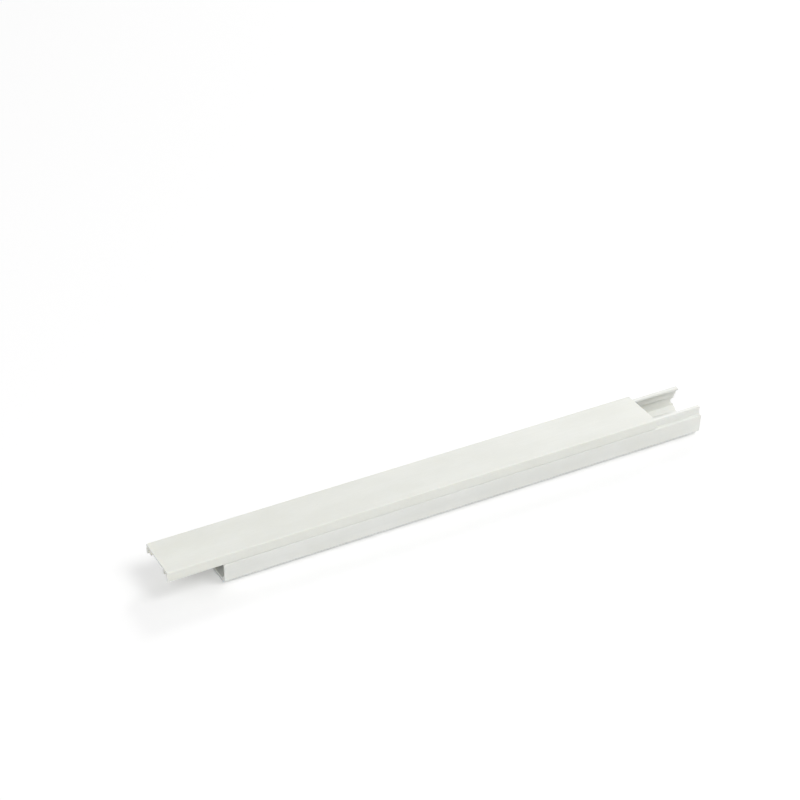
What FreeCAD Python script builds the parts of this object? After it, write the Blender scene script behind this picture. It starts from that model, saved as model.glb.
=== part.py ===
"""Snap-cover cord raceway: a two-piece white PVC channel with a stick-on back.

Millimetres. +X runs along the length, +Y across it, +Z up. The origin is the centre of the
sticky back, which is also what the raceway lies on. The base channel and its cover are two
extrusions of the same width; the cover has been slid along until it stands out past one end.
Every section is drawn as a half, from the centre plane outwards, and mirrored.
"""
import FreeCAD, Part
import os
from enum import IntEnum

import Sketcher
from FreeCAD import Vector

# Driving sizes. Heights inside the sections are measured from the underside of the base.
SIZES = {
    "base_length": (265.0, "length of the base channel"),
    "cover_length": (265.0, "length of the cover"),
    "cover_overhang": (28.0, "how far the cover stands out past the left end of the base"),
    "raceway_width": (25.0, "outside width of base and cover"),
    "raceway_height": (16.0, "underside of the base to the top of the closed cover"),
    "floor_wall": (1.1, "thickness of the base's floor"),
    "side_wall": (1.3, "thickness of the base's lower side walls"),
    "bevel_width": (2.5, "outside bevel under each side wall, measured across"),
    "bevel_height": (1.2, "the same bevel, measured up"),
    "haunch_width": (2.4, "slope where the side wall meets the floor inside, across"),
    "haunch_height": (2.2, "the same slope, measured up"),
    "ledge_height": (10.3, "underside of the base to the ledge below the cover's skirt"),
    "ledge_width": (1.75, "how far the upper wall stands in behind the outer face"),
    "ledge_wall": (1.1, "thickness of the ledge"),
    "upper_wall": (1.1, "thickness of the base's upper walls"),
    "lip_width": (2.3, "width of the inturned lip on each upper wall"),
    "lip_thickness": (1.25, "thickness of the lip"),
    "lip_lead_width": (0.5, "lead-in on the lip's inner top edge, across"),
    "lip_lead_height": (0.4, "the same lead-in, measured up"),
    "cover_wall": (1.0, "thickness of the cover's flat top"),
    "skirt_wall": (1.1, "thickness of the cover's outside skirts"),
    "leg_wall": (1.0, "thickness of the cover's inner legs"),
    "barb_reach": (0.8, "how far each barb stands out from its leg"),
    "barb_face": (0.4, "height of the barb's upright face"),
    "barb_taper": (1.1, "height of the lead-in slope under the barb"),
    "seat_clearance": (0.2, "cover's flat top to the top of the lips"),
    "skirt_clearance": (0.6, "bottom of the skirts to the ledges"),
    "leg_clearance": (0.25, "inner legs to the lips' inner faces"),
    "barb_clearance": (0.2, "top of the barbs to the underside of the lips"),
    "ledge_radius": (0.8, "rounding of the ledge's outer edge"),
    "cover_radius": (0.4, "rounding of the cover's top edges"),
    "corner_radius": (0.25, "small rounding that the die leaves on other corners"),
    "tape_margin": (0.5, "edge of the tape to the start of the outside bevel"),
    "tape_thickness": (0.85, "thickness of the foam tape"),
    "liner_thickness": (0.15, "thickness of the film that covers the tape"),
}

# Places in the section, as expressions of the driving sizes. Across is from the centre plane.
OUTSIDE = "Sizes.raceway_width / 2"
UPPER_WALL_OUTSIDE = f"{OUTSIDE} - Sizes.ledge_width"
UPPER_WALL_INSIDE = f"{UPPER_WALL_OUTSIDE} - Sizes.upper_wall"
LIP_INSIDE = f"{UPPER_WALL_OUTSIDE} - Sizes.lip_width"
SIDE_WALL_INSIDE = f"{OUTSIDE} - Sizes.side_wall"
LEG_OUTSIDE = f"{LIP_INSIDE} - Sizes.leg_clearance"
LEG_INSIDE = f"{LEG_OUTSIDE} - Sizes.leg_wall"
SKIRT_INSIDE = f"{OUTSIDE} - Sizes.skirt_wall"
TAPE_EDGE = f"{OUTSIDE} - Sizes.bevel_width - Sizes.tape_margin"

COVER_TOP = "Sizes.raceway_height"
COVER_UNDERSIDE = f"{COVER_TOP} - Sizes.cover_wall"
LIP_TOP = f"{COVER_UNDERSIDE} - Sizes.seat_clearance"
LIP_UNDERSIDE = f"{LIP_TOP} - Sizes.lip_thickness"
LEDGE_UNDERSIDE = "Sizes.ledge_height - Sizes.ledge_wall"
SKIRT_BOTTOM = "Sizes.ledge_height + Sizes.skirt_clearance"
BARB_TOP = f"{LIP_UNDERSIDE} - Sizes.barb_clearance"
BARB_BOTTOM = f"{BARB_TOP} - Sizes.barb_face"
LEG_TIP = f"{BARB_BOTTOM} - Sizes.barb_taper"
BACK_THICKNESS = "Sizes.tape_thickness + Sizes.liner_thickness"

# Each outline is a closed run of corners: name, place across, height.
BASE_SECTION = [
    ("floor_centre_below", "0", "0"),
    ("bevel_inner", f"{OUTSIDE} - Sizes.bevel_width", "0"),
    ("bevel_outer", OUTSIDE, "Sizes.bevel_height"),
    ("ledge_edge", OUTSIDE, "Sizes.ledge_height"),
    ("ledge_root", UPPER_WALL_OUTSIDE, "Sizes.ledge_height"),
    ("upper_wall_top", UPPER_WALL_OUTSIDE, LIP_TOP),
    ("lead_start", f"{LIP_INSIDE} + Sizes.lip_lead_width", LIP_TOP),
    ("lead_end", LIP_INSIDE, f"{LIP_TOP} - Sizes.lip_lead_height"),
    ("lip_catch", LIP_INSIDE, LIP_UNDERSIDE),
    ("lip_root", UPPER_WALL_INSIDE, LIP_UNDERSIDE),
    ("shoulder", UPPER_WALL_INSIDE, LEDGE_UNDERSIDE),
    ("shoulder_root", SIDE_WALL_INSIDE, LEDGE_UNDERSIDE),
    ("haunch_top", SIDE_WALL_INSIDE, "Sizes.floor_wall + Sizes.haunch_height"),
    ("haunch_foot", f"{SIDE_WALL_INSIDE} - Sizes.haunch_width", "Sizes.floor_wall"),
    ("floor_centre_above", "0", "Sizes.floor_wall"),
]
COVER_SECTION = [
    ("centre_above", "0", COVER_TOP),
    ("centre_below", "0", COVER_UNDERSIDE),
    ("leg_root_inner", LEG_INSIDE, COVER_UNDERSIDE),
    ("leg_tip_inner", LEG_INSIDE, LEG_TIP),
    ("leg_tip_outer", LEG_OUTSIDE, LEG_TIP),
    ("barb_low", f"{LEG_OUTSIDE} + Sizes.barb_reach", BARB_BOTTOM),
    ("barb_high", f"{LEG_OUTSIDE} + Sizes.barb_reach", BARB_TOP),
    ("barb_root", LEG_OUTSIDE, BARB_TOP),
    ("leg_root_outer", LEG_OUTSIDE, COVER_UNDERSIDE),
    ("skirt_root", SKIRT_INSIDE, COVER_UNDERSIDE),
    ("skirt_inner", SKIRT_INSIDE, SKIRT_BOTTOM),
    ("skirt_outer", OUTSIDE, SKIRT_BOTTOM),
    ("top_edge", OUTSIDE, COVER_TOP),
]
TAPE_SECTION = [
    ("centre_below", "0", "0"),
    ("edge_below", TAPE_EDGE, "0"),
    ("edge_above", TAPE_EDGE, "Sizes.tape_thickness"),
    ("centre_above", "0", "Sizes.tape_thickness"),
]
LINER_SECTION = [
    ("centre_below", "0", "0"),
    ("edge_below", TAPE_EDGE, "0"),
    ("edge_above", TAPE_EDGE, "Sizes.liner_thickness"),
    ("centre_above", "0", "Sizes.liner_thickness"),
]

BASE_ROUNDS = {
    "ledge_radius": ["ledge_edge"],
    "corner_radius": ["ledge_root", "upper_wall_top", "lip_root", "shoulder", "shoulder_root"],
}
COVER_ROUNDS = {
    "cover_radius": ["top_edge"],
    "corner_radius": ["leg_root_inner", "leg_root_outer", "skirt_root", "skirt_outer"],
}

PLACE_TOLERANCE = 1e-4


class LinePoint(IntEnum):
    """Which end of a sketched line a constraint takes hold of."""
    START = 1
    END = 2


class SketchAxis(IntEnum):
    """The sketch's own axes; the horizontal one also stands for its origin."""
    ACROSS = -1
    UP = -2


def make_sheet(doc):
    """Write the driving sizes into the spreadsheet, one named cell to each."""
    sheet = doc.addObject("Spreadsheet::Sheet", "Sizes")
    for row, (alias, (value, note)) in enumerate(SIZES.items(), start=1):
        sheet.set(f"A{row}", alias)
        sheet.set(f"B{row}", str(value))
        sheet.setAlias(f"B{row}", alias)
        sheet.set(f"C{row}", note)
    doc.recompute()


def origin_plane(body, role):
    """Return one of the body's own origin planes."""
    return next(plane for plane in body.Origin.OriginFeatures if plane.Role == role)


def bind_corner(sketch, line, name, across, up):
    """Tie the start of a line to its place across and its height."""
    corner = (line, LinePoint.START)
    origin = (SketchAxis.ACROSS, LinePoint.START)
    if across == "0" and up == "0":
        sketch.addConstraint(Sketcher.Constraint("Coincident", *corner, *origin))
        return
    for kind, axis, expression in (("DistanceX", SketchAxis.UP, across),
                                   ("DistanceY", SketchAxis.ACROSS, up)):
        if expression == "0":
            sketch.addConstraint(Sketcher.Constraint("PointOnObject", *corner, axis))
            continue
        value = sketch.evalExpression(expression)
        index = sketch.addConstraint(Sketcher.Constraint(kind, *origin, *corner, value))
        label = name + ("_across" if kind == "DistanceX" else "_up")
        sketch.renameConstraint(index, label)
        sketch.setExpression(f"Constraints.{label}", expression)


def draw_section(body, name, corners):
    """Draw a closed outline across the length, every corner bound to the sheet."""
    sketch = body.newObject("Sketcher::SketchObject", name)
    sketch.AttachmentSupport = [(origin_plane(body, "YZ_Plane"), "")]
    sketch.MapMode = "FlatFace"
    body.Document.recompute()
    places = [
        Vector(sketch.evalExpression(across), sketch.evalExpression(up), 0)
        for _, across, up in corners
    ]
    for here, following in zip(places, places[1:] + places[:1]):
        sketch.addGeometry(Part.LineSegment(here, following), False)
    for line, (corner, across, up) in enumerate(corners):
        before = (line - 1) % len(corners)
        sketch.addConstraint(
            Sketcher.Constraint("Coincident", before, LinePoint.END, line, LinePoint.START))
        bind_corner(sketch, line, corner, across, up)
    return sketch


def extrude_half(body, sketch, length):
    """Pad the half section along the length and mirror it about the centre plane."""
    half = body.newObject("PartDesign::Pad", f"{body.Name}_half")
    half.Profile = sketch
    half.setExpression("Length", length)
    body.Document.recompute()
    whole = body.newObject("PartDesign::Mirrored", f"{body.Name}_whole")
    whole.Originals = [half]
    whole.MirrorPlane = (origin_plane(body, "XZ_Plane"), [""])
    whole.Refine = True
    body.Tip = whole
    body.Document.recompute()
    if abs(whole.Shape.Volume - 2 * half.Shape.Volume) > PLACE_TOLERANCE * half.Shape.Volume:
        raise ValueError(f"{body.Name}: the mirrored half does not double the volume")
    return whole


def edges_at(shape, places):
    """Name the lengthwise edges that run through the given places of the section."""
    names = []
    for number, edge in enumerate(shape.Edges, start=1):
        box = edge.BoundBox
        if max(box.YLength, box.ZLength) > PLACE_TOLERANCE:
            continue
        for across, up in places:
            if (abs(abs(box.YMin) - across) < PLACE_TOLERANCE
                    and abs(box.ZMin - up) < PLACE_TOLERANCE):
                names.append(f"Edge{number}")
    return names


def round_corners(body, feature, corners, rounds):
    """Round the named corners of the section, each group with its own radius."""
    places = {
        name: (body.evalExpression(across), body.evalExpression(up))
        for name, across, up in corners
    }
    for radius, names in rounds.items():
        fillet = body.newObject("PartDesign::Fillet", f"{body.Name}_{radius}")
        edges = edges_at(feature.Shape, [places[name] for name in names])
        if len(edges) != 2 * len(names):
            raise ValueError(f"{fillet.Name}: found {len(edges)} edges for {len(names)} corners")
        fillet.Base = (feature, edges)
        fillet.setExpression("Radius", f"Sizes.{radius}")
        body.Tip = fillet
        body.Document.recompute()
        feature = fillet


def make_extrusion(doc, label, corners, rounds, length, start, height):
    """Build one lengthwise piece and set it in its place."""
    body = doc.addObject("PartDesign::Body", label)
    body.Label = label
    section = draw_section(body, f"{label}_section", corners)
    whole = extrude_half(body, section, length)
    round_corners(body, whole, corners, rounds)
    body.setExpression("Placement.Base.x", start)
    body.setExpression("Placement.Base.z", height)
    doc.recompute()
    return body


def check_document(doc, pieces):
    """Stop if any object failed or any piece is not one sound solid."""
    for item in doc.Objects:
        if {"Invalid", "Error"} & set(item.State):
            raise ValueError(f"{item.Name} failed: {item.State}")
    for piece in pieces:
        if piece.Shape.isNull() or not piece.Shape.isValid() or len(piece.Shape.Solids) != 1:
            raise ValueError(f"{piece.Label} is not one valid solid")


def main():
    """Build the raceway and write one file for each of its pieces."""
    doc = FreeCAD.newDocument("cord_raceway")
    make_sheet(doc)
    base_start = "-Sizes.base_length / 2"
    pieces = [
        make_extrusion(doc, "base_channel", BASE_SECTION, BASE_ROUNDS,
                       "Sizes.base_length", base_start, BACK_THICKNESS),
        make_extrusion(doc, "snap_cover", COVER_SECTION, COVER_ROUNDS,
                       "Sizes.cover_length", f"{base_start} - Sizes.cover_overhang",
                       BACK_THICKNESS),
        make_extrusion(doc, "foam_tape", TAPE_SECTION, {},
                       "Sizes.base_length", base_start, "Sizes.liner_thickness"),
        make_extrusion(doc, "release_liner", LINER_SECTION, {},
                       "Sizes.base_length", base_start, "0"),
    ]
    check_document(doc, pieces)
    os.makedirs("parts", exist_ok=True)
    for piece in pieces:
        piece.Shape.exportStep(os.path.join("parts", f"{piece.Label}.step"))
        box = piece.Shape.BoundBox
        print(f"{piece.Label}: {piece.Shape.Volume:.1f} mm3, x {box.XMin:.2f} to {box.XMax:.2f},"
              f" y {box.YMin:.2f} to {box.YMax:.2f}, z {box.ZMin:.2f} to {box.ZMax:.2f}")


main()
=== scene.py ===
"""Looks of a snap-cover cord raceway: a lipped white channel, its cover and its sticky back.

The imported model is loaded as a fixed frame. Each of its four pieces is modelled again with the
detail that a made and sawn one shows, and stands for the plain solid of the same name.
Sections are written in millimetres, and everything in the scene is in metres.
"""
from __future__ import annotations

import logging
import math
from collections.abc import Callable, Sequence
from dataclasses import dataclass, field
from enum import Enum

import bmesh
import bpy
from mathutils import Matrix, Vector


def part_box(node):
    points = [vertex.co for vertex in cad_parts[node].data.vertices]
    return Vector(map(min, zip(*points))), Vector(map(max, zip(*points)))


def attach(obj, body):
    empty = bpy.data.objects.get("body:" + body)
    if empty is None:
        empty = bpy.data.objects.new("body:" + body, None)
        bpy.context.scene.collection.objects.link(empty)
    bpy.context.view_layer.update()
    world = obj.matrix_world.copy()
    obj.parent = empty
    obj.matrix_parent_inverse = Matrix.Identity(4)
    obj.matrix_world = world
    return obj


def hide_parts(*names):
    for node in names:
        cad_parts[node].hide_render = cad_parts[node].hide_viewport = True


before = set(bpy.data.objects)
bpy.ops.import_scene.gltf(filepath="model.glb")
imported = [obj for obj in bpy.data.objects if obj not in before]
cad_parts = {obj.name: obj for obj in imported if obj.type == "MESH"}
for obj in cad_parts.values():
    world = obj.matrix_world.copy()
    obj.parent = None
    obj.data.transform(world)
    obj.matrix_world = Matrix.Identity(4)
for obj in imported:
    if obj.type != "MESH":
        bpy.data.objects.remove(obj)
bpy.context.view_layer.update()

LOG = logging.getLogger("raceway")
MM = 0.001
FRAME_PIXELS = 800
SENSOR_MM = 36.0
WHITE = (1.0, 1.0, 1.0, 1.0)
# Places nearer than this, in millimetres, count as one place.
SAME_PLACE = 0.01
# Points nearer than this, in metres, are welded into one.
WELD = 1e-7
# Faces that meet at less than this are shaded as one smooth surface.
SMOOTH_DEGREES = 38
# A Mix node's colour sockets have numbers here, because sockets of other kinds share their names.
MIX_FIRST, MIX_SECOND, MIX_RESULT = 6, 7, 2

Colour = tuple[float, float, float]
Pitch = tuple[float, float, float]
Span = tuple[float, float]
Node = bpy.types.Node
Socket = bpy.types.NodeSocket


class Body(Enum):
    """The two rigid bodies of the raceway."""
    BASE = "base"
    COVER = "cover"


class CutEnd(Enum):
    """The two sawn ends of a length, as the sign of X that each one faces."""
    LEFT = -1
    RIGHT = 1


class Axis(Enum):
    """The two directions of a section, by their place in a vector."""
    ACROSS = 1
    UP = 2


def from_srgb(*parts: int) -> Colour:
    """Turn a colour written in 0 to 255 into the scene's linear values.

    Args:
        *parts: Red, green and blue as they are read off a screen.

    Returns:
        The three linear values.
    """
    shares = (part / 255 for part in parts)
    return tuple(share / 12.92 if share <= 0.04045 else ((share + 0.055) / 1.055) ** 2.4
                 for share in shares)


def shaded(colour: Colour, factor: float) -> Colour:
    """Return a colour made darker or paler by a factor, up to full white."""
    return tuple(min(1.0, factor * part) for part in colour)


# Node trees

class NodeCanvas:
    """Places nodes in one tree and joins them."""

    def __init__(self, tree: bpy.types.NodeTree) -> None:
        """Start on an empty tree."""
        self.tree = tree
        tree.nodes.clear()

    def add(self, kind: str, values: dict[str, object] | None = None, **settings: object
            ) -> Node:
        """Place one node.

        Args:
            kind: The node's type, without its ShaderNode prefix.
            values: Default values of its inputs, by name or number.
            **settings: Properties of the node itself.

        Returns:
            The new node.
        """
        node = self.tree.nodes.new(kind if kind.startswith("NodeGroup") else "ShaderNode" + kind)
        for name, value in settings.items():
            setattr(node, name, value)
        for name, value in (values or {}).items():
            node.inputs[name].default_value = value
        return node

    def join(self, source: Socket, target: Socket) -> None:
        """Link an output to an input."""
        self.tree.links.new(source, target)

    def maths(self, operation: str, first: float | Socket, second: float | Socket = 0.0
              ) -> Socket:
        """Work on one or two values, each of them a number or a socket.

        Args:
            operation: The Math node's operation.
            first: The first value.
            second: The second value, where the operation takes two.

        Returns:
            The socket that carries the result.
        """
        node = self.add("Math", operation=operation)
        for socket, value in zip(node.inputs, (first, second)):
            if isinstance(value, (int, float)):
                socket.default_value = value
            else:
                self.join(value, socket)
        return node.outputs[0]

    def sum_up(self, start: float, *parts: tuple[Socket, float]) -> Socket:
        """Add several values to a number, each by its own share.

        Args:
            start: The number.
            *parts: The values, each with what it is multiplied by.

        Returns:
            The socket that carries the result.
        """
        products = [self.maths("MULTIPLY", socket, share) for socket, share in parts]
        total = products[0]
        for product in products[1:]:
            total = self.maths("ADD", total, product)
        return self.maths("ADD", total, start)

    def noise(self, vector: Socket, pitch: Pitch, detail: float = 2.0,
              roughness: float = 0.5) -> Socket:
        """Add noise that is finer or coarser along each axis.

        Args:
            vector: The coordinates.
            pitch: Size of the pattern along X, Y and Z in millimetres.
            detail: The noise's detail.
            roughness: How strong the fine part of it is.

        Returns:
            The noise's value, about 0.5 in the middle.
        """
        scale = self.add("VectorMath", operation="MULTIPLY")
        scale.inputs[1].default_value = tuple(1 / (size * MM) for size in pitch)
        self.join(vector, scale.inputs[0])
        noise = self.add("TexNoise", {"Scale": 1.0, "Detail": detail, "Roughness": roughness})
        self.join(scale.outputs[0], noise.inputs["Vector"])
        return noise.outputs[0]

    def ramp(self, value: Socket, low: float, high: float, to_low: float = 0.0,
             to_high: float = 1.0) -> Socket:
        """Spread a value smoothly over a new range.

        Args:
            value: The value to spread.
            low: What becomes to_low.
            high: What becomes to_high.
            to_low: Start of the new range.
            to_high: End of the new range.

        Returns:
            The socket that carries the result.
        """
        node = self.add("MapRange", {"From Min": low, "From Max": high, "To Min": to_low,
                                     "To Max": to_high}, interpolation_type="SMOOTHSTEP")
        self.join(value, node.inputs["Value"])
        return node.outputs["Result"]

    def blend(self, factor: Socket, first: Colour | Socket, second: Colour | Socket,
              share: float = 1.0) -> Socket:
        """Mix two colours, each of them a colour or a socket.

        Args:
            factor: How much of the second one.
            first: The first colour.
            second: The second colour.
            share: What the factor is multiplied by.

        Returns:
            The socket that carries the result.
        """
        if share != 1.0:
            factor = self.maths("MULTIPLY", factor, share)
        node = self.add("Mix", data_type="RGBA")
        self.join(factor, node.inputs["Factor"])
        for number, value in ((MIX_FIRST, first), (MIX_SECOND, second)):
            if isinstance(value, tuple):
                node.inputs[number].default_value = (*value, 1.0)
            else:
                self.join(value, node.inputs[number])
        return node.outputs[MIX_RESULT]

    def emboss(self, height: Socket, strength: float, depth: float, shader: Node) -> None:
        """Give a shader fine relief.

        Args:
            height: The relief's height over the surface.
            strength: How strongly it shows.
            depth: How deep one unit of height is, in millimetres.
            shader: The shader whose normal it turns.
        """
        bump = self.add("Bump", {"Strength": strength, "Distance": depth * MM})
        self.join(height, bump.inputs["Height"])
        self.join(bump.outputs[0], shader.inputs["Normal"])


class ShaderGroup:
    """A shader node group that is built once and then placed where it is needed.

    Its pitches and sizes are in millimetres, its turns in degrees, and a span is where a mask
    starts and where it is full.
    """
    name = ""
    takes: dict[str, str] = {}
    gives: dict[str, str] = {}

    def draw(self, canvas: NodeCanvas, source: Node, result: Node) -> None:
        """Place the nodes between the group's inputs and its outputs.

        Args:
            canvas: The group's tree.
            source: The node that brings the inputs.
            result: The node that takes the outputs.
        """
        raise NotImplementedError

    def tree(self) -> bpy.types.NodeTree:
        """Return the group, and build it the first time."""
        if self.name in bpy.data.node_groups:
            return bpy.data.node_groups[self.name]
        group = bpy.data.node_groups.new(self.name, "ShaderNodeTree")
        for direction, sockets in (("INPUT", self.takes), ("OUTPUT", self.gives)):
            for label, kind in sockets.items():
                group.interface.new_socket(label, in_out=direction, socket_type=kind)
        canvas = NodeCanvas(group)
        self.draw(canvas, canvas.add("NodeGroupInput"), canvas.add("NodeGroupOutput"))
        return group

    def place(self, canvas: NodeCanvas, links: dict[str, Socket],
              values: dict[str, object] | None = None) -> Node:
        """Put the group into a material.

        Args:
            canvas: The material's tree.
            links: What feeds its inputs.
            values: Fixed values of the other inputs.

        Returns:
            The group's node there.
        """
        node = canvas.add("Group", node_tree=self.tree())
        for label, value in (values or {}).items():
            node.inputs[label].default_value = value
        for label, socket in links.items():
            canvas.join(socket, node.inputs[label])
        return node


class DieLines(ShaderGroup):
    """Fine lines and shallow waves that an extrusion die leaves along the length."""
    name = "die_lines"
    takes = {"Vector": "NodeSocketVector"}
    gives = {"Height": "NodeSocketFloat", "Streaks": "NodeSocketFloat"}
    fine_pitch: Pitch = (180, 0.16, 0.16)
    fine_share = 0.35
    broad_pitch: Pitch = (260, 0.9, 0.9)
    wave_pitch: Pitch = (45, 9, 9)
    streak_pitch: Pitch = (150, 0.45, 0.45)
    streak_span: Span = (0.35, 0.7)

    def draw(self, canvas: NodeCanvas, source: Node, result: Node) -> None:
        """Lay three widths of line over each other, and streaks beside them."""
        vector = source.outputs["Vector"]
        fine = canvas.noise(vector, self.fine_pitch, 1.0)
        broad = canvas.noise(vector, self.broad_pitch, 1.0)
        wave = canvas.noise(vector, self.wave_pitch, 1.0)
        lines = canvas.maths("ADD", canvas.maths("MULTIPLY", fine, self.fine_share), broad)
        canvas.join(canvas.maths("ADD", lines, wave), result.inputs["Height"])
        streaks = canvas.noise(vector, self.streak_pitch, 2.0)
        canvas.join(canvas.ramp(streaks, *self.streak_span), result.inputs["Streaks"])


class ResinClouding(ShaderGroup):
    """The faint cloudiness of mixed resin, between two close colours."""
    name = "resin_clouding"
    takes = {"Vector": "NodeSocketVector", "Pale": "NodeSocketColor", "Deep": "NodeSocketColor"}
    gives = {"Color": "NodeSocketColor"}
    cloud_pitch: Pitch = (38, 16, 16)
    cloud_share = 0.8
    grain_pitch: Pitch = (2.2, 0.8, 0.8)
    grain_share = 0.2
    contrast: Span = (0.32, 0.68)

    def draw(self, canvas: NodeCanvas, source: Node, result: Node) -> None:
        """Mix the colours by large soft clouds with a fine grain in them."""
        vector = source.outputs["Vector"]
        clouds = canvas.noise(vector, self.cloud_pitch, 3.0, 0.55)
        grain = canvas.noise(vector, self.grain_pitch, 2.0)
        both = canvas.maths("ADD", canvas.maths("MULTIPLY", clouds, self.cloud_share),
                            canvas.maths("MULTIPLY", grain, self.grain_share))
        canvas.join(canvas.blend(canvas.ramp(both, *self.contrast), source.outputs["Pale"],
                                 source.outputs["Deep"]), result.inputs["Color"])


class HandlingMarks(ShaderGroup):
    """Sparse hair scratches and specks of dust from stacking and handling."""
    name = "handling_marks"
    takes = {"Vector": "NodeSocketVector"}
    gives = {"Scratches": "NodeSocketFloat", "Specks": "NodeSocketFloat"}
    scratch_turn = 7.0
    scratch_pitch: Pitch = (14, 0.09, 0.3)
    scratch_span: Span = (0.70, 0.76)
    patch_pitch: Pitch = (30, 8, 8)
    patch_span: Span = (0.48, 0.62)
    speck_spacing = 2.4
    speck_edge: Span = (0.05, 0.09)
    speck_rarity: Span = (0.86, 0.88)

    def draw(self, canvas: NodeCanvas, source: Node, result: Node) -> None:
        """Cut thin lines and small dots out of noise."""
        vector = source.outputs["Vector"]
        turn = canvas.add("VectorRotate", {"Angle": math.radians(self.scratch_turn)},
                          rotation_type="Z_AXIS")
        canvas.join(vector, turn.inputs["Vector"])
        along = canvas.ramp(canvas.noise(turn.outputs[0], self.scratch_pitch, 1.0),
                            *self.scratch_span)
        patches = canvas.ramp(canvas.noise(vector, self.patch_pitch, 1.0), *self.patch_span)
        canvas.join(canvas.maths("MULTIPLY", along, patches), result.inputs["Scratches"])
        cells = canvas.add("TexVoronoi", {"Scale": 1 / (self.speck_spacing * MM),
                                          "Randomness": 1.0})
        canvas.join(vector, cells.inputs["Vector"])
        dots = canvas.ramp(cells.outputs["Distance"], *self.speck_edge, 1.0, 0.0)
        pick = canvas.add("SeparateColor")
        canvas.join(cells.outputs["Color"], pick.inputs[0])
        few = canvas.ramp(pick.outputs[0], *self.speck_rarity)
        canvas.join(canvas.maths("MULTIPLY", dots, few), result.inputs["Specks"])


class SawnFace(ShaderGroup):
    """Where a surface faces along the length, and the lines that the saw left there."""
    name = "sawn_face"
    takes = {"Vector": "NodeSocketVector", "Normal": "NodeSocketVector"}
    gives = {"Mask": "NodeSocketFloat", "Height": "NodeSocketFloat"}
    mask_span: Span = (0.55, 0.85)
    saw_turn = 24.0
    saw_pitch: Pitch = (4, 3.5, 0.12)

    def draw(self, canvas: NodeCanvas, source: Node, result: Node) -> None:
        """Read the normal's part along the length, and lay slanting saw lines."""
        parts = canvas.add("SeparateXYZ")
        canvas.join(source.outputs["Normal"], parts.inputs[0])
        facing = canvas.maths("ABSOLUTE", parts.outputs["X"])
        canvas.join(canvas.ramp(facing, *self.mask_span), result.inputs["Mask"])
        turn = canvas.add("VectorRotate", {"Angle": math.radians(self.saw_turn)},
                          rotation_type="X_AXIS")
        canvas.join(source.outputs["Vector"], turn.inputs["Vector"])
        lines = canvas.noise(turn.outputs[0], self.saw_pitch, 2.0, 0.6)
        canvas.join(lines, result.inputs["Height"])


class FoamCells(ShaderGroup):
    """The small closed cells of polyethylene foam."""
    name = "foam_cells"
    takes = {"Vector": "NodeSocketVector"}
    gives = {"Height": "NodeSocketFloat", "Pits": "NodeSocketFloat"}
    cell_size = 0.28
    pit_edge: Span = (0.1, 0.45)

    def draw(self, canvas: NodeCanvas, source: Node, result: Node) -> None:
        """Take the distance to the middle of each cell as its height."""
        cells = canvas.add("TexVoronoi", {"Scale": 1 / (self.cell_size * MM),
                                          "Randomness": 0.9})
        canvas.join(source.outputs["Vector"], cells.inputs["Vector"])
        canvas.join(cells.outputs["Distance"], result.inputs["Height"])
        # Pits is full in each cell's hollow middle; the foam darkens its colour there as painted
        # shade, and roughens it.
        canvas.join(canvas.ramp(cells.outputs["Distance"], *self.pit_edge, 1.0, 0.0),
                    result.inputs["Pits"])


# Finishes

@dataclass(frozen=True)
class Finish:
    """What every finish has: a name, a plain shader, fine relief and Object coordinates.

    The glow is the share of light that passes under the surface. Its depth and the relief's
    are in millimetres.
    """
    name: str
    roughness: float
    glow: float = 0.0
    glow_depth: float = 1.0
    glow_tint: Colour = (1.0, 0.95, 0.85)
    relief: float = 0.35
    relief_depth: float = 0.006

    def begin(self) -> tuple[bpy.types.Material, NodeCanvas, Node, Node]:
        """Make the material with its shader and its coordinates.

        Returns:
            The material, its canvas, the shader's node and the coordinates' node.
        """
        material = bpy.data.materials.new(self.name)
        material.use_nodes = True
        canvas = NodeCanvas(material.node_tree)
        shader = canvas.add("BsdfPrincipled", {
            "Roughness": self.roughness, "Subsurface Weight": self.glow,
            "Subsurface Radius": self.glow_tint, "Subsurface Scale": self.glow_depth * MM})
        output = canvas.add("OutputMaterial")
        canvas.join(shader.outputs[0], output.inputs["Surface"])
        return material, canvas, shader, canvas.add("TexCoord")

    def clouded(self, canvas: NodeCanvas, spot: Socket, pale: Colour, deep: Colour) -> Socket:
        """Cloud the surface between two colours.

        Args:
            canvas: The material's tree.
            spot: The Object coordinates.
            pale: The paler colour.
            deep: The deeper colour.

        Returns:
            The socket that carries the clouded colour.
        """
        group = ResinClouding().place(canvas, {"Vector": spot},
                                      {"Pale": (*pale, 1), "Deep": (*deep, 1)})
        return group.outputs["Color"]

    def build(self) -> bpy.types.Material:
        """Make the finish's material."""
        raise NotImplementedError


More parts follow.
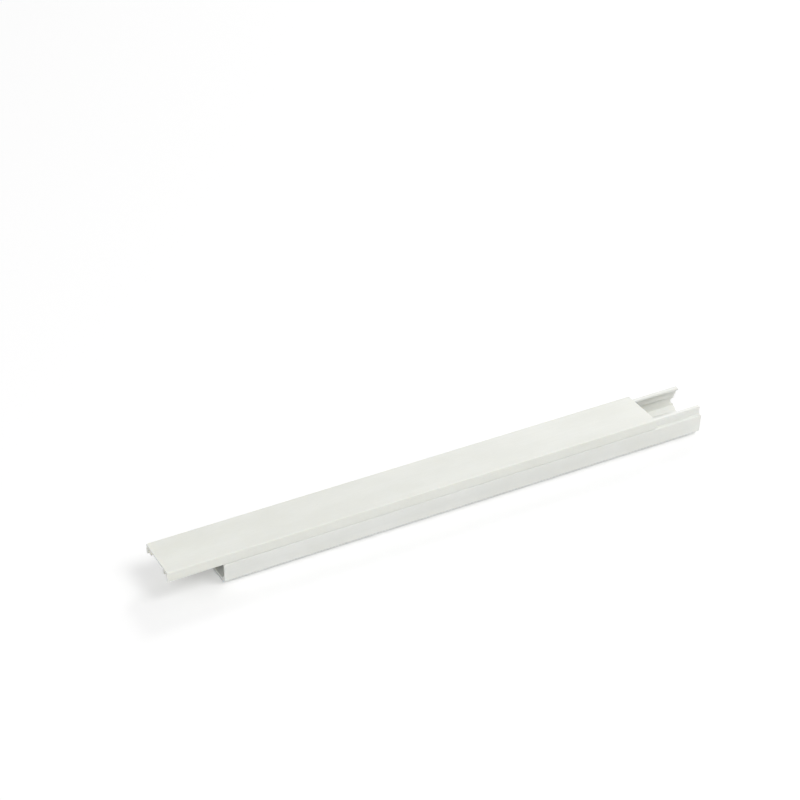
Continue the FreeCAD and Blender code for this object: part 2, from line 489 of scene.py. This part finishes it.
@dataclass(frozen=True)
class RigidPvc(Finish):
    """Satin rigid PVC as it leaves the die, with faint clouding, die lines and saw marks."""
    pale: Colour = from_srgb(237, 238, 232)
    deep: Colour = from_srgb(231, 232, 225)
    cut: Colour = from_srgb(239, 240, 236)
    speck: Colour = (0.50, 0.49, 0.44)
    streak_share: float = 0.35
    scratch_share: float = 0.30
    scratch_shade: float = 0.82
    speck_share: float = 0.22
    streak_wear: float = 0.07
    scratch_wear: float = 0.12
    sawn_wear: float = 0.28
    saw_height: float = 14.0

    def build(self) -> bpy.types.Material:
        """Make the material.

        Returns:
            The finished material.
        """
        material, canvas, shader, places = self.begin()
        spot, facing = places.outputs["Object"], places.outputs["Normal"]
        clouded = self.clouded(canvas, spot, self.pale, self.deep)
        lines = DieLines().place(canvas, {"Vector": spot})
        marks = HandlingMarks().place(canvas, {"Vector": spot})
        sawn = SawnFace().place(canvas, {"Vector": spot, "Normal": facing})

        streaked = canvas.blend(lines.outputs["Streaks"], clouded, self.deep, self.streak_share)
        scratched = canvas.blend(marks.outputs["Scratches"], streaked,
                                 shaded(self.deep, self.scratch_shade), self.scratch_share)
        specked = canvas.blend(marks.outputs["Specks"], scratched, self.speck, self.speck_share)
        canvas.join(canvas.blend(sawn.outputs["Mask"], specked, self.cut),
                    shader.inputs["Base Color"])

        canvas.join(canvas.sum_up(self.roughness,
                                  (lines.outputs["Streaks"], self.streak_wear),
                                  (marks.outputs["Scratches"], self.scratch_wear),
                                  (sawn.outputs["Mask"], self.sawn_wear)),
                    shader.inputs["Roughness"])

        height = canvas.add("Mix", data_type="FLOAT")
        canvas.join(sawn.outputs["Mask"], height.inputs["Factor"])
        canvas.join(lines.outputs["Height"], height.inputs["A"])
        canvas.join(canvas.maths("MULTIPLY", sawn.outputs["Height"], self.saw_height),
                    height.inputs["B"])
        canvas.emboss(height.outputs["Result"], self.relief, self.relief_depth, shader)
        return material


@dataclass(frozen=True)
class TapeFoam(Finish):
    """Matt closed-cell foam, open where its edges were slit, with painted shade in its cell pits.
    """
    relief: float = 0.7
    relief_depth: float = 0.08
    skin: Colour = (0.80, 0.82, 0.81)
    skin_shade: float = 0.93
    # A darker colour painted into the cell pits as their shade.
    pit_shade: Colour = (0.55, 0.58, 0.58)
    pit_shade_share: float = 0.55
    pit_wear: float = 0.08

    def build(self) -> bpy.types.Material:
        """Make the material.

        Returns:
            The finished material.
        """
        material, canvas, shader, places = self.begin()
        spot = places.outputs["Object"]
        cells = FoamCells().place(canvas, {"Vector": spot})
        clouded = self.clouded(canvas, spot, self.skin, shaded(self.skin, self.skin_shade))
        # Painted shade: the colour darkens towards each cell's hollow middle.
        canvas.join(canvas.blend(cells.outputs["Pits"], clouded, self.pit_shade, self.pit_shade_share),
                    shader.inputs["Base Color"])
        canvas.join(canvas.sum_up(self.roughness, (cells.outputs["Pits"], self.pit_wear)),
                    shader.inputs["Roughness"])
        canvas.emboss(cells.outputs["Height"], self.relief, self.relief_depth, shader)
        return material


@dataclass(frozen=True)
class ReleaseFilm(Finish):
    """Thin blue film that lies on the glue, with faint stretch lines and trapped air."""
    relief: float = 0.4
    relief_depth: float = 0.012
    pale: Colour = (0.26, 0.66, 0.95)
    deep: Colour = (0.21, 0.60, 0.91)
    scratch_share: float = 0.5
    scratch_shade: float = 1.25
    streak_wear: float = 0.14
    blister_pitch: Pitch = (3.2, 2.4, 2.4)
    blister_span: Span = (0.58, 0.74)
    blister_height: float = 3.0

    def build(self) -> bpy.types.Material:
        """Make the material.

        Returns:
            The finished material.
        """
        material, canvas, shader, places = self.begin()
        spot = places.outputs["Object"]
        clouded = self.clouded(canvas, spot, self.pale, self.deep)
        lines = DieLines().place(canvas, {"Vector": spot})
        marks = HandlingMarks().place(canvas, {"Vector": spot})
        canvas.join(canvas.blend(marks.outputs["Scratches"], clouded,
                                 shaded(self.pale, self.scratch_shade), self.scratch_share),
                    shader.inputs["Base Color"])
        canvas.join(canvas.sum_up(self.roughness, (lines.outputs["Streaks"], self.streak_wear)),
                    shader.inputs["Roughness"])
        blisters = canvas.ramp(canvas.noise(spot, self.blister_pitch, 1.0), *self.blister_span)
        height = canvas.maths("ADD", lines.outputs["Height"],
                              canvas.maths("MULTIPLY", blisters, self.blister_height))
        canvas.emboss(height, self.relief, self.relief_depth, shader)
        return material


# Modelling

@dataclass(frozen=True)
class Corner:
    """A corner of a half section in millimetres: place across, height, and its rounding."""
    across: float
    up: float
    rounding: float = 0.0


@dataclass(frozen=True)
class RimPoint:
    """How far the saw cut stands back at one height of an end's rim, in millimetres."""
    up: float
    back: float


@dataclass(frozen=True)
class Skew:
    """How far a saw cut stands back at the near and the far side of an end, in millimetres."""
    near: float = 0.0
    far: float = 0.0


class Shaper:
    """Shapes one mesh with the modelling operators, as by hand."""

    def __init__(self, piece: bpy.types.Object) -> None:
        """Take hold of a piece that has just been added."""
        self.piece = piece

    @classmethod
    def from_plane(cls, name: str, place: Vector, size: Span = (1.0, 1.0),
                   cells: tuple[int, int] = (1, 1)) -> Shaper:
        """Add a flat grid as the start of a piece.

        Args:
            name: The new piece's name.
            place: Middle of the grid, in millimetres.
            size: Its length along X and Y, in millimetres.
            cells: How many faces it has along X and Y.

        Returns:
            The shaper that holds it.
        """
        bpy.ops.object.select_all(action="DESELECT")
        bpy.ops.mesh.primitive_grid_add(x_subdivisions=cells[0], y_subdivisions=cells[1],
                                        size=1.0, location=place * MM)
        piece = bpy.context.object
        piece.name = piece.data.name = name
        piece.scale = (size[0] * MM, size[1] * MM, 1.0)
        bpy.ops.object.transform_apply(location=True, rotation=True, scale=True)
        return cls(piece)

    def edit(self) -> None:
        """Open the piece's mesh."""
        bpy.ops.object.select_all(action="DESELECT")
        self.piece.select_set(True)
        bpy.context.view_layer.objects.active = self.piece
        bpy.ops.object.mode_set(mode="EDIT")
        bpy.ops.mesh.select_mode(type="VERT")

    def close(self) -> None:
        """Leave the piece's mesh."""
        bpy.ops.object.mode_set(mode="OBJECT")

    def select(self, wanted: Callable[[bmesh.types.BMVert], bool]) -> None:
        """Select the vertices that are wanted, and no others."""
        bpy.ops.mesh.select_all(action="DESELECT")
        mesh = bmesh.from_edit_mesh(self.piece.data)
        for vertex in mesh.verts:
            if wanted(vertex):
                vertex.select_set(True)
        mesh.select_flush_mode()
        bmesh.update_edit_mesh(self.piece.data)

    def pick(self, wanted: Callable[[Vector], bool]) -> None:
        """Select vertices by their place in millimetres."""
        self.select(lambda vertex: wanted(vertex.co / MM))

    def pick_numbers(self, numbers: set[int]) -> None:
        """Select vertices by their numbers."""
        self.select(lambda vertex: vertex.index in numbers)

    def extrude(self, x: float = 0.0, y: float = 0.0, z: float = 0.0) -> None:
        """Extrude what is selected by a step in millimetres."""
        bpy.ops.mesh.extrude_region_move(
            TRANSFORM_OT_translate={"value": (x * MM, y * MM, z * MM)})

    def move(self, x: float = 0.0, y: float = 0.0, z: float = 0.0) -> None:
        """Move what is selected by a step in millimetres."""
        bpy.ops.transform.translate(value=(x * MM, y * MM, z * MM))

    def slice(self, axis: Axis, level: float) -> None:
        """Cut the whole mesh through at one level.

        Args:
            axis: The axis that the cut stands square to.
            level: Where it is, in millimetres.
        """
        normal = Vector((0.0, 0.0, 0.0))
        normal[axis.value] = 1.0
        bpy.ops.mesh.select_all(action="SELECT")
        bpy.ops.mesh.bisect(plane_co=normal * level * MM, plane_no=normal, threshold=WELD)

    def apply(self, kind: str, **settings: object) -> None:
        """Add a modifier and apply it.

        Args:
            kind: The modifier's type.
            **settings: Its properties.
        """
        bpy.ops.object.select_all(action="DESELECT")
        self.piece.select_set(True)
        bpy.context.view_layer.objects.active = self.piece
        modifier = self.piece.modifiers.new(kind.lower(), kind)
        for name, value in settings.items():
            setattr(modifier, name, value)
        bpy.ops.object.modifier_apply(modifier=modifier.name)

    def roughen(self, wanted: Callable[[Vector], bool], depth: float, grain: float,
                direction: str) -> None:
        """Push some of the surface in and out by noise.

        Args:
            wanted: Says which vertices move, by their place in millimetres.
            depth: How far the noise moves them, in millimetres, with its sign.
            grain: Size of the noise, in millimetres.
            direction: The axis that they move along, or NORMAL.
        """
        group = self.piece.vertex_groups.new(name="rough")
        group.add([vertex.index for vertex in self.piece.data.vertices if wanted(vertex.co / MM)],
                  1.0, "REPLACE")
        texture = bpy.data.textures.new("rough", "CLOUDS")
        texture.noise_scale = grain * MM
        texture.noise_depth = 2
        self.apply("DISPLACE", texture=texture, texture_coords="LOCAL", direction=direction,
                   vertex_group="rough", strength=depth * MM, mid_level=0.0)
        self.piece.vertex_groups.clear()
        bpy.data.textures.remove(texture)

    def finish(self, node: str, body: Body, slot: str, finish: Finish) -> None:
        """Smooth, dress and seat the finished piece.

        Args:
            node: The solid that it stands for.
            body: The body that it rides on.
            slot: Not used.
            finish: The finish.
        """
        self.edit()
        bpy.ops.mesh.select_all(action="SELECT")
        bpy.ops.mesh.remove_doubles(threshold=WELD)
        bpy.ops.mesh.normals_make_consistent(inside=False)
        self.close()
        bpy.ops.object.shade_smooth_by_angle(angle=math.radians(SMOOTH_DEGREES))
        self.piece.data.materials.clear()
        self.piece.data.materials.append(finish.build())
        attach(self.piece, body.value)
        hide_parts(node)
        LOG.info("%s: %d vertices on body %s", self.piece.name,
                 len(self.piece.data.vertices), body.value)


@dataclass
class SawnExtrusion:
    """A length of extruded stock: a half section, mirrored, drawn out and sawn at both ends.

    Its sizes are in millimetres. Roundings above broad_rounding get broad_steps faces, and
    all others fine_steps. Only the end rings, ring_clear short of the next, are roughened.
    """
    name: str
    node: str
    body: Body
    slot: str
    finish: Finish
    half_width: float = 12.5
    cell: float = 0.6
    last_station: float = 4.5
    station_pitch: float = 12.0
    ring_clear: float = 0.1
    saw_depth: float = 0.14
    saw_grain: float = 0.7
    broad_rounding: float = 0.5
    broad_steps: int = 6
    fine_steps: int = 3
    skews: dict[CutEnd, Skew] = field(default_factory=dict)

    def corners(self) -> list[Corner]:
        """Return the half section, from the centre plane below round to the one above."""
        raise NotImplementedError

    def rim(self, end: CutEnd, far: bool) -> list[RimPoint]:
        """Return how the cut runs up one wall's rim.

        Args:
            end: The end that is cut.
            far: True for the wall towards +Y.

        Returns:
            The cut's points in order of height.
        """
        return [RimPoint(0.0, 0.0)]

    def ends(self) -> tuple[float, float]:
        """Return the X of the left and right ends, in millimetres."""
        low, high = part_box(self.node)
        return low.x / MM, high.x / MM

    def trace(self) -> Shaper:
        """Draw the half section at the left end, one extruded corner after another.

        Returns:
            The shaper that holds the filled section.
        """
        corners, left = self.corners(), self.ends()[0]
        shaper = Shaper.from_plane(self.name, Vector((left, corners[0].across, corners[0].up)))
        shaper.edit()
        bpy.ops.mesh.select_all(action="SELECT")
        bpy.ops.mesh.merge(type="CENTER")
        for here, there in zip(corners, corners[1:]):
            shaper.extrude(y=there.across - here.across, z=there.up - here.up)
        bpy.ops.mesh.select_all(action="SELECT")
        bpy.ops.mesh.edge_face_add()
        for rounding in sorted({corner.rounding for corner in corners} - {0.0}):
            places = [(c.across, c.up) for c in corners if c.rounding == rounding]
            shaper.pick(lambda at: any(math.hypot(at.y - y, at.z - z) < SAME_PLACE
                                       for y, z in places))
            steps = self.broad_steps if rounding > self.broad_rounding else self.fine_steps
            bpy.ops.mesh.bevel(offset_type="OFFSET", offset=rounding * MM, profile=0.5,
                               segments=steps, affect="VERTICES")
        return shaper

    def levels(self, places: Sequence[float]) -> list[float]:
        """Return the levels to slice at, evenly spread and clear of every corner.

        Args:
            places: The corners' places along the axis, in millimetres.

        Returns:
            The levels, in millimetres.
        """
        stops = sorted({round(place, 4) for place in places})
        found = []
        for low, high in zip(stops, stops[1:]):
            count = math.ceil((high - low) / self.cell)
            found += [low + (high - low) * step / count for step in range(1, count)]
        return found

    def stations(self) -> list[float]:
        """Return the X of each ring of the drawn length, left to right, after the first."""
        left, right = self.ends()
        inner_left, inner_right = left + self.last_station, right - self.last_station
        count = round((inner_right - inner_left) / self.station_pitch)
        inner = [inner_left + (inner_right - inner_left) * step / count
                 for step in range(count + 1)]
        return [*inner, right]

    def shape_rim(self, shaper: Shaper, end: CutEnd) -> None:
        """Move an end's rim back bit by bit, so that the cut runs as it was sawn.

        Args:
            shaper: Holds the open mesh.
            end: The end that is cut.
        """
        x = self.ends()[end is CutEnd.RIGHT]
        skew = self.skews.get(end, Skew())
        steps: dict[float, set[int]] = {}
        for vertex in bmesh.from_edit_mesh(shaper.piece.data).verts:
            at = vertex.co / MM
            if abs(at.x - x) < SAME_PLACE:
                share = at.y / (2 * self.half_width) + 0.5
                back = skew.near + (skew.far - skew.near) * share
                back += interpolate(self.rim(end, at.y > 0), at.z)
                steps.setdefault(round(back, 2), set()).add(vertex.index)
        for back, indices in steps.items():
            if back > 0:
                shaper.pick_numbers(indices)
                shaper.move(x=-end.value * back)

    def build(self) -> None:
        """Model the length and seat it."""
        shaper = self.trace()
        corners = self.corners()
        for level in self.levels([corner.up for corner in corners]):
            shaper.slice(Axis.UP, level)
        for level in self.levels([corner.across for corner in corners]):
            shaper.slice(Axis.ACROSS, level)
        shaper.close()
        shaper.apply("MIRROR", use_axis=(False, True, False), use_clip=True,
                     merge_threshold=1e-6)
        shaper.edit()
        bpy.ops.mesh.select_all(action="SELECT")
        here = self.ends()[0]
        for station in self.stations():
            shaper.extrude(x=station - here)
            here = station
        for end in CutEnd:
            self.shape_rim(shaper, end)
        shaper.close()
        left, right = self.ends()
        reach = self.last_station - self.ring_clear
        shaper.roughen(lambda at: at.x < left + reach, self.saw_depth, self.saw_grain, "X")
        shaper.roughen(lambda at: at.x > right - reach, -self.saw_depth, self.saw_grain, "X")
        shaper.finish(self.node, self.body, self.slot, self.finish)


def interpolate(points: Sequence[RimPoint], up: float) -> float:
    """Return how far the cut stands back at a height between two rim points.

    Args:
        points: The rim's points in order of height.
        up: The height, in millimetres.

    Returns:
        The distance back, in millimetres.
    """
    if up <= points[0].up:
        return points[0].back
    for low, high in zip(points, points[1:]):
        if up <= high.up:
            share = (up - low.up) / (high.up - low.up)
            return low.back + (high.back - low.back) * share
    return points[-1].back


# How far the cuts of the base's ends stand back at each height, in millimetres.
LEFT_CUT = ((1.0, 0.0), (15.8, 0.15))
RIGHT_CUT = ((1.0, 0.5), (3.0, 0.45), (8.0, 0.35), (11.3, 0.1), (12.5, 0.3), (15.8, 0.25))
TORN_CUT = ((3.5, 0.0), (3.9, 0.45), (4.8, 0.15), (5.1, 0.9), (5.5, 1.7), (6.2, 1.9),
            (6.9, 1.8), (7.6, 2.3), (8.2, 1.9), (8.5, 0.3), (9.2, 0.2), (9.6, 1.2),
            (10.2, 1.7), (10.8, 1.2), (11.4, 1.35), (12.1, 1.0), (12.6, 0.45), (13.3, 0.6),
            (14.2, 0.1), (15.8, 0.0))


@dataclass
class BaseChannel(SawnExtrusion):
    """The channel: floor, haunches, stepped side walls and the lips that hold the cover."""
    underside: float = 1.0
    floor: float = 1.1
    side_wall: float = 1.3
    bevel_across: float = 2.5
    bevel_up: float = 1.2
    haunch_across: float = 2.4
    haunch_up: float = 2.2
    ledge_up: float = 10.65
    ledge_across: float = 1.75
    ledge_wall: float = 1.1
    upper_wall: float = 1.1
    top: float = 14.8
    lip_across: float = 2.3
    lip_wall: float = 1.25
    lead_across: float = 0.5
    lead_up: float = 0.4
    ledge_round: float = 0.75
    soft_round: float = 0.25
    slight_round: float = 0.15
    lip_round: float = 0.1

    def corners(self) -> list[Corner]:
        """Return the half section, from the centre plane below round to the one above."""
        out, low = self.half_width, self.underside
        upper = out - self.ledge_across
        lip, inner = upper - self.lip_across, out - self.side_wall
        catch, shoulder = low + self.top - self.lip_wall, low + self.ledge_up - self.ledge_wall
        return [
            Corner(0, low),
            Corner(out - self.bevel_across, low, self.slight_round),
            Corner(out, low + self.bevel_up, self.soft_round),
            Corner(out, low + self.ledge_up, self.ledge_round),
            Corner(upper, low + self.ledge_up, self.soft_round),
            Corner(upper, low + self.top, self.soft_round),
            Corner(lip + self.lead_across, low + self.top, self.lip_round),
            Corner(lip, low + self.top - self.lead_up, self.lip_round),
            Corner(lip, catch, self.lip_round),
            Corner(upper - self.upper_wall, catch, self.soft_round),
            Corner(upper - self.upper_wall, shoulder, self.soft_round),
            Corner(inner, shoulder, self.soft_round),
            Corner(inner, low + self.floor + self.haunch_up, self.slight_round),
            Corner(inner - self.haunch_across, low + self.floor, self.slight_round),
            Corner(0, low + self.floor),
        ]

    def rim(self, end: CutEnd, far: bool) -> list[RimPoint]:
        """Return how the cut runs: torn back in the far lower wall of the right end.

        Args:
            end: The end that is cut.
            far: True for the wall towards +Y.

        Returns:
            The cut's points in order of height.
        """
        if end is CutEnd.LEFT:
            points = LEFT_CUT
        else:
            points = TORN_CUT if far else RIGHT_CUT
        return [RimPoint(up, back) for up, back in points]


@dataclass
class SnapCover(SawnExtrusion):
    """The cover: a flat top, two skirts all but flush with the base and two barbed legs."""
    top: float = 17.0
    plate: float = 1.0
    skirt_wall: float = 1.1
    skirt_end: float = 11.9
    set_in: float = 0.1
    leg_out: float = 8.2
    leg_wall: float = 1.0
    leg_end: float = 13.5
    barb_reach: float = 0.8
    barb_low: float = 13.95
    barb_top: float = 14.35
    soft_round: float = 0.25
    tip_round: float = 0.12
    barb_round: float = 0.1

    def corners(self) -> list[Corner]:
        """Return the half section, from the centre plane below round to the one above."""
        under = self.top - self.plate
        leg_in, barb = self.leg_out - self.leg_wall, self.leg_out + self.barb_reach
        out = self.half_width - self.set_in
        return [
            Corner(0, under),
            Corner(leg_in, under, self.soft_round),
            Corner(leg_in, self.leg_end, self.tip_round),
            Corner(self.leg_out, self.leg_end, self.tip_round),
            Corner(barb, self.barb_low, self.barb_round),
            Corner(barb, self.barb_top, self.barb_round),
            Corner(self.leg_out, self.barb_top, self.barb_round),
            Corner(self.leg_out, under, self.soft_round),
            Corner(out - self.skirt_wall, under, self.soft_round),
            Corner(out - self.skirt_wall, self.skirt_end, self.tip_round),
            Corner(out, self.skirt_end, self.barb_round),
            Corner(out, self.top, self.soft_round),
            Corner(0, self.top),
        ]


@dataclass
class StickyBack:
    """The foam tape under the base and the blue film that covers its glue.

    Its sizes are in millimetres: how deep and how coarse the unevenness of each edge is, and
    how far the film's ends stand back.
    """
    foam: Finish
    film: Finish
    cell: float = 1.6
    foam_layers: int = 3
    slit_depth: float = 0.18
    slit_grain: float = 2.5
    slit_clear: float = 1.0
    end_depth: float = 0.36
    end_grain: float = 1.5
    film_back: float = 0.5
    film_depth: float = 0.12
    film_grain: float = 1.2

    def sheet(self, name: str, node: str, layers: int) -> tuple[Shaper, Vector, Vector]:
        """Draw up a thin strip from a grid at its lower face.

        Args:
            name: The new piece's name.
            node: The solid that it stands for.
            layers: How many rows of faces its edges have.

        Returns:
            The shaper, and the strip's lowest and highest corners in millimetres.
        """
        low, high = (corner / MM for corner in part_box(node))
        size = high - low
        cells = (round(size.x / self.cell), round(size.y / self.cell))
        middle = Vector(((low.x + high.x) / 2, (low.y + high.y) / 2, low.z))
        shaper = Shaper.from_plane(name, middle, (size.x, size.y), cells)
        shaper.edit()
        bpy.ops.mesh.select_all(action="SELECT")
        for _ in range(layers):
            shaper.extrude(z=size.z / layers)
        bpy.ops.mesh.select_all(action="SELECT")
        bpy.ops.mesh.normals_make_consistent(inside=False)
        shaper.close()
        return shaper, low, high

    def build_foam(self) -> None:
        """Model the foam with its slit and slightly uneven edges."""
        shaper, low, high = self.sheet("tape_foam", "foam_tape", self.foam_layers)
        start, stop = low.x + self.slit_clear, high.x - self.slit_clear
        for side, edge in ((1, low.y), (-1, high.y)):
            shaper.roughen(lambda at, edge=edge: abs(at.y - edge) < SAME_PLACE and
                           start < at.x < stop, side * self.slit_depth, self.slit_grain, "Y")
        for side, edge in ((1, low.x), (-1, high.x)):
            shaper.roughen(lambda at, edge=edge: abs(at.x - edge) < SAME_PLACE,
                           side * self.end_depth, self.end_grain, "X")
        shaper.finish("foam_tape", Body.BASE, "foam_tape", self.foam)

    def build_film(self) -> None:
        """Model the film, a little ragged where its ends were cut."""
        shaper, low, high = self.sheet("blue_film", "release_liner", 1)
        for side, edge in ((1, low.x), (-1, high.x)):
            shaper.edit()
            shaper.pick(lambda at, edge=edge: abs(at.x - edge) < SAME_PLACE)
            shaper.move(x=side * self.film_back)
            shaper.close()
            shaper.roughen(lambda at, edge=edge + side * self.film_back:
                           abs(at.x - edge) < SAME_PLACE,
                           side * self.film_depth, self.film_grain, "X")
        shaper.finish("release_liner", Body.BASE, "release_liner", self.film)


# Studio

@dataclass(frozen=True)
class SoftLamp:
    """A square soft lamp that faces the raceway.

    Its bearing from +X and its height are in degrees, its power in watts, and its distance and
    size in metres.
    """
    name: str
    bearing: float
    height: float
    power: float
    distance: float
    size: float

    def build(self) -> None:
        """Hang the lamp."""
        light = bpy.data.lights.new(self.name, "AREA")
        light.size, light.energy = self.size, self.power
        lamp = bpy.data.objects.new(self.name, light)
        bpy.context.scene.collection.objects.link(lamp)
        bearing, height = math.radians(self.bearing), math.radians(self.height)
        lamp.location = self.distance * Vector((math.cos(bearing) * math.cos(height),
                                                math.sin(bearing) * math.cos(height),
                                                math.sin(height)))
        lamp.rotation_euler = (-lamp.location).to_track_quat("-Z", "Y").to_euler()
        LOG.info("%s: %.1f W", self.name, self.power)


@dataclass(frozen=True)
class ProductCamera:
    """The camera, by its lens, its place in metres and the angles it looks at, in degrees."""
    focal_pixels: float
    place: tuple[float, float, float]
    azimuth: float
    elevation: float
    roll: float

    def build(self) -> None:
        """Set the camera up and make it the scene's own."""
        azimuth, elevation, roll = (math.radians(angle) for angle in
                                    (self.azimuth, self.elevation, self.roll))
        forward = Vector((math.sin(azimuth) * math.cos(elevation),
                          math.cos(azimuth) * math.cos(elevation), -math.sin(elevation)))
        right = Vector((math.cos(azimuth), -math.sin(azimuth), 0.0))
        up = right.cross(forward)
        right_rolled = math.cos(roll) * right + math.sin(roll) * up
        up_rolled = math.cos(roll) * up - math.sin(roll) * right
        data = bpy.data.cameras.new("product_camera")
        data.sensor_width, data.clip_start, data.clip_end = SENSOR_MM, 0.01, 100.0
        data.lens = self.focal_pixels / FRAME_PIXELS * SENSOR_MM
        camera = bpy.data.objects.new("product_camera", data)
        bpy.context.scene.collection.objects.link(camera)
        turn = Matrix((right_rolled, up_rolled, -forward)).transposed()
        camera.matrix_world = Matrix.Translation(Vector(self.place)) @ turn.to_4x4()
        bpy.context.scene.camera = camera


@dataclass
class Studio:
    """White floor, soft lamps and an even surround, in metres.

    What the camera sees of the floor is lifted towards white: slightly up to floor_near, where
    it keeps the shadow, and wholly beyond floor_far, where the lamps hardly reach.
    """
    camera: ProductCamera
    lamps: Sequence[SoftLamp]
    surround: float = 0.425
    floor_size: float = 14.0
    floor_drop: float = 0.05 * MM
    floor_grey: float = 0.92
    floor_roughness: float = 0.9
    floor_specular: float = 0.1
    floor_lift: float = 0.185
    floor_near: float = 0.9
    floor_far: float = 2.6

    def seen_directly(self, canvas: NodeCanvas) -> Socket:
        """Return 1 for what the camera sees, also by reflection or through glass."""
        path = canvas.add("LightPath")
        straight = canvas.maths("MAXIMUM", path.outputs["Is Camera Ray"],
                                path.outputs["Is Glossy Ray"])
        return canvas.maths("MAXIMUM", straight, path.outputs["Is Transmission Ray"])

    def build_floor(self) -> None:
        """Lay the pale floor, which looks white and keeps the shadow."""
        bpy.ops.object.select_all(action="DESELECT")
        bpy.ops.mesh.primitive_plane_add(size=self.floor_size, location=(0, 0, -self.floor_drop))
        floor = bpy.context.object
        floor.name = "studio_floor"
        material = bpy.data.materials.new("sweep_paper")
        material.use_nodes = True
        canvas = NodeCanvas(material.node_tree)
        shader = canvas.add("BsdfPrincipled", {
            "Base Color": (self.floor_grey, self.floor_grey, self.floor_grey, 1.0),
            "Roughness": self.floor_roughness, "Specular IOR Level": self.floor_specular,
            "Emission Color": WHITE})
        away = canvas.add("VectorMath", operation="LENGTH")
        canvas.join(canvas.add("TexCoord").outputs["Object"], away.inputs[0])
        lift = canvas.ramp(away.outputs["Value"], self.floor_near, self.floor_far,
                           self.floor_lift, 1.0)
        canvas.join(canvas.maths("MULTIPLY", self.seen_directly(canvas), lift),
                    shader.inputs["Emission Strength"])
        canvas.join(shader.outputs[0], canvas.add("OutputMaterial").inputs["Surface"])
        floor.data.materials.append(material)

    def build_surround(self) -> None:
        """Light the scene evenly from all round, and show white behind it."""
        world = bpy.data.worlds.new("studio_surround")
        bpy.context.scene.world = world
        world.use_nodes = True
        canvas = NodeCanvas(world.node_tree)
        lighting = canvas.add("Background", {"Color": WHITE, "Strength": self.surround})
        backdrop = canvas.add("Background", {"Color": WHITE, "Strength": 1.0})
        choose = canvas.add("MixShader")
        canvas.join(self.seen_directly(canvas), choose.inputs[0])
        canvas.join(lighting.outputs[0], choose.inputs[1])
        canvas.join(backdrop.outputs[0], choose.inputs[2])
        canvas.join(choose.outputs[0], canvas.add("OutputWorld").inputs["Surface"])

    def build(self) -> None:
        """Set up floor, surround, lamps and camera."""
        self.build_floor()
        self.build_surround()
        for lamp in self.lamps:
            lamp.build()
        self.camera.build()
        bpy.context.scene.view_settings.view_transform = "Standard"


def main() -> None:
    """Model the pieces, then set up the studio."""
    logging.basicConfig(level=logging.INFO, format="%(name)s: %(message)s")
    base_pvc = RigidPvc("base_pvc", roughness=0.42, glow=0.4, glow_depth=1.8,
                        pale=from_srgb(236, 237, 233), deep=from_srgb(230, 231, 226))
    cover_pvc = RigidPvc("cover_pvc", roughness=0.47, glow=0.5, glow_depth=1.0)
    BaseChannel("channel", "base_channel", Body.BASE, "base_pvc", base_pvc, cell=0.4,
                skews={CutEnd.LEFT: Skew(near=0.0, far=0.5)}).build()
    SnapCover("cover", "snap_cover", Body.COVER, "cover_pvc", cover_pvc,
              skews={CutEnd.LEFT: Skew(near=0.05, far=0.45)}).build()
    back = StickyBack(foam=TapeFoam("tape_foam", roughness=0.82),
                      film=ReleaseFilm("release_film", roughness=0.30))
    back.build_foam()
    back.build_film()
    camera = ProductCamera(focal_pixels=2155.864, place=(-0.444110, -0.729471, 0.613307),
                           azimuth=29.2726, elevation=33.272, roll=0.870)
    lamps = (
        SoftLamp("right_back_box", bearing=46, height=32, power=22.0, distance=3.2, size=0.8),
        SoftLamp("right_front_box", bearing=306, height=54, power=39.0, distance=3.2, size=1.8),
        SoftLamp("left_front_box", bearing=232, height=40, power=9.0, distance=2.4, size=0.5),
    )
    Studio(camera, lamps).build()


if __name__ == "__main__":
    main()
